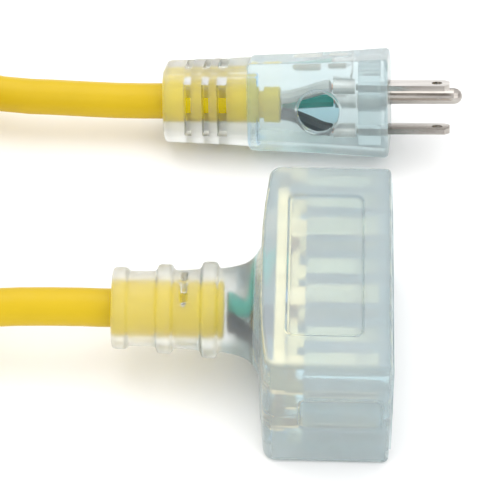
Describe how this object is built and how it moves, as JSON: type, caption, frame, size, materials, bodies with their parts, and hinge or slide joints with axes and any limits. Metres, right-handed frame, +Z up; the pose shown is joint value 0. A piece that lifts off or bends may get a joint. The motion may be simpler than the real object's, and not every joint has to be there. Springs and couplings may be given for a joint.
{
  "type": "extension cord",
  "caption": "Heavy outdoor extension cord: clear moulded grounded plug, round jacketed cord in a tied coil, and a clear T-shaped connector with a row of outlets.",
  "frame": {"origin": "under the middle of the connector's box, its block and neck together, on the surface everything lies on", "axes": "+X out of the outlet face, +Y along the row of three outlets, +Z up"},
  "size_m": [0.3272, 0.1794, 0.0657],
  "materials": {
    "clear_vinyl": "frosted, semi-gloss",
    "clear_insert": "polished",
    "cord_yellow": "semi-gloss",
    "wire_black": "semi-gloss",
    "wire_white": "semi-gloss",
    "wire_green": "semi-gloss",
    "copper": "bare copper strands",
    "tinned_metal": "tinned",
    "nickel_plate": "nickel plated",
    "brass": "pressed sheet",
    "lamp_glass": "clear",
    "resistor_ceramic": "matt",
    "strap_black": "hook-and-loop"
  },
  "bodies": {
    "root": {"coil_tie": "strap_black", "connector_ground_conductor": "copper", "connector_ground_wire": "wire_green", "connector_jacket_end": "cord_yellow", "connector_lamp": "lamp_glass", "connector_lamp_lead_line": "tinned_metal", "connector_lamp_lead_middle": "tinned_metal", "connector_lamp_lead_neutral": "tinned_metal", "connector_line_conductor": "copper", "connector_line_wire": "wire_black", "connector_neutral_conductor": "copper", "connector_neutral_wire": "wire_white", "connector_overmold": "clear_vinyl", "connector_resistor": "resistor_ceramic", "cord_coil": "cord_yellow", "cord_run_connector": "cord_yellow", "cord_run_plug": "cord_yellow", "ground_bus_strip": "brass", "ground_contact_1": "brass", "ground_contact_2": "brass", "ground_contact_3": "brass", "line_bus_strip": "brass", "line_contact_1": "brass", "line_contact_2": "brass", "line_contact_3": "brass", "neutral_bus_strip": "brass", "neutral_contact_1": "brass", "neutral_contact_2": "brass", "neutral_contact_3": "brass", "outlet_housing": "clear_insert", "plug_ground_conductor": "copper", "plug_ground_crimp": "tinned_metal", "plug_ground_pin": "nickel_plate", "plug_ground_wire": "wire_green", "plug_jacket_end": "cord_yellow", "plug_lamp": "lamp_glass", "plug_lamp_lead_middle": "tinned_metal", "plug_lamp_lead_neutral": "tinned_metal", "plug_line_blade": "nickel_plate", "plug_line_conductor": "copper", "plug_line_crimp": "tinned_metal", "plug_line_wire": "wire_black", "plug_neutral_blade": "nickel_plate", "plug_neutral_conductor": "copper", "plug_neutral_crimp": "tinned_metal", "plug_neutral_wire": "wire_white", "plug_overmold": "clear_vinyl", "plug_prong_bridge": "clear_insert", "plug_resistor": "resistor_ceramic"}
  },
  "joints": []
}
